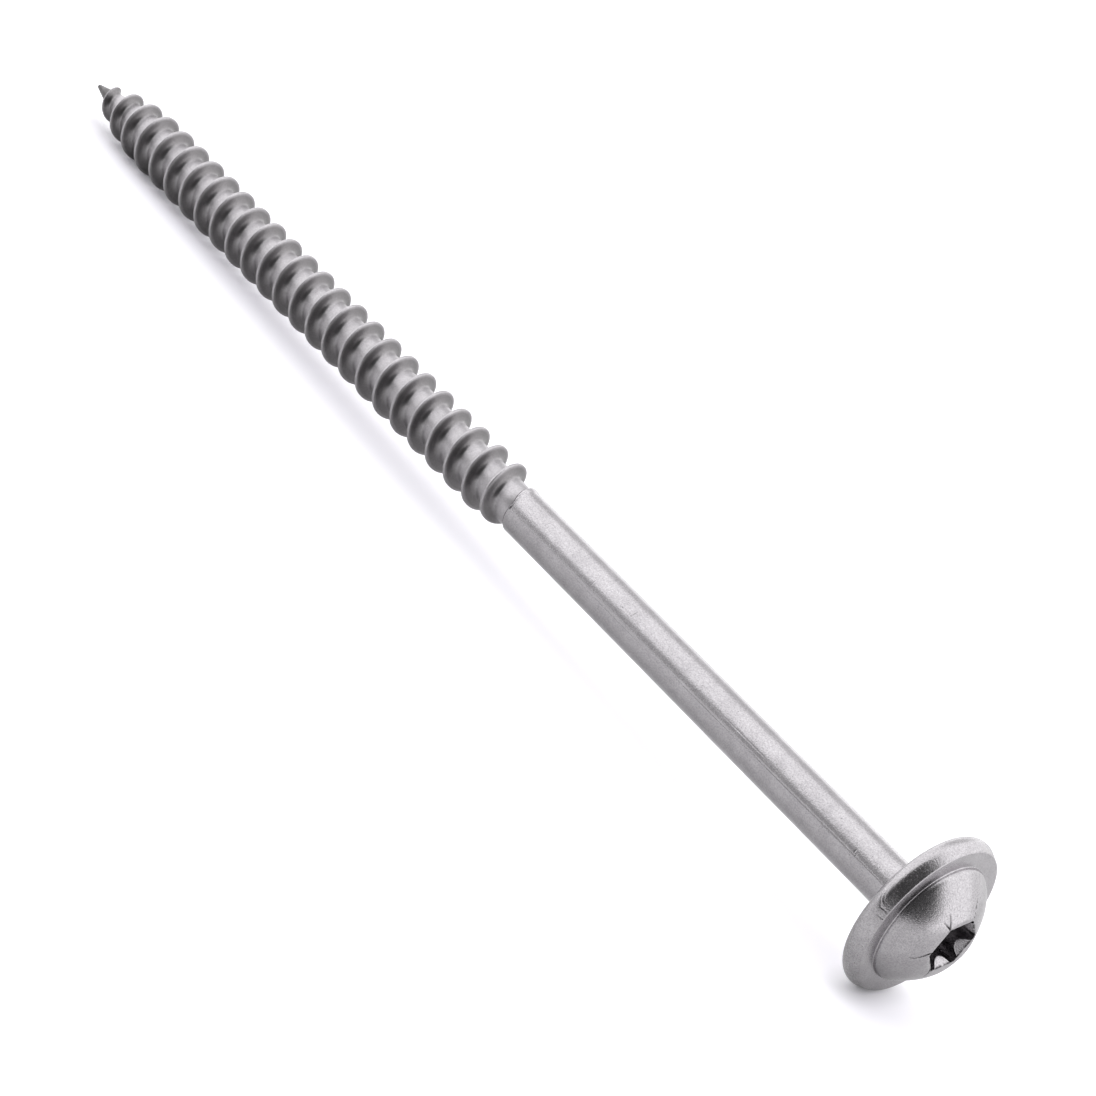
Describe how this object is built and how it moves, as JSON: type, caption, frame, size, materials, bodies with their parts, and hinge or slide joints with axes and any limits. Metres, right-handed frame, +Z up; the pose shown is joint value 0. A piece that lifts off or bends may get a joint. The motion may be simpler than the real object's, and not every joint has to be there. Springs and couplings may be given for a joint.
{
  "type": "chipboard screw",
  "caption": "Long part-threaded wood screw with a sharp point, a plain shank and a domed washer head with a lobed drive recess, lying on its side",
  "frame": {"origin": "middle of the bounding box in X and Y, on the floor plane on which the screw lies", "axes": "+X along the screw from its point toward its head, +Z up from the floor, +Y across the screw, away from the side that the picture shows"},
  "size_m": [0.1662, 0.0194, 0.0194],
  "materials": {
    "steel": "satin, bare or clear-coated steel"
  },
  "bodies": {
    "root": {"screw": "steel"}
  },
  "joints": []
}
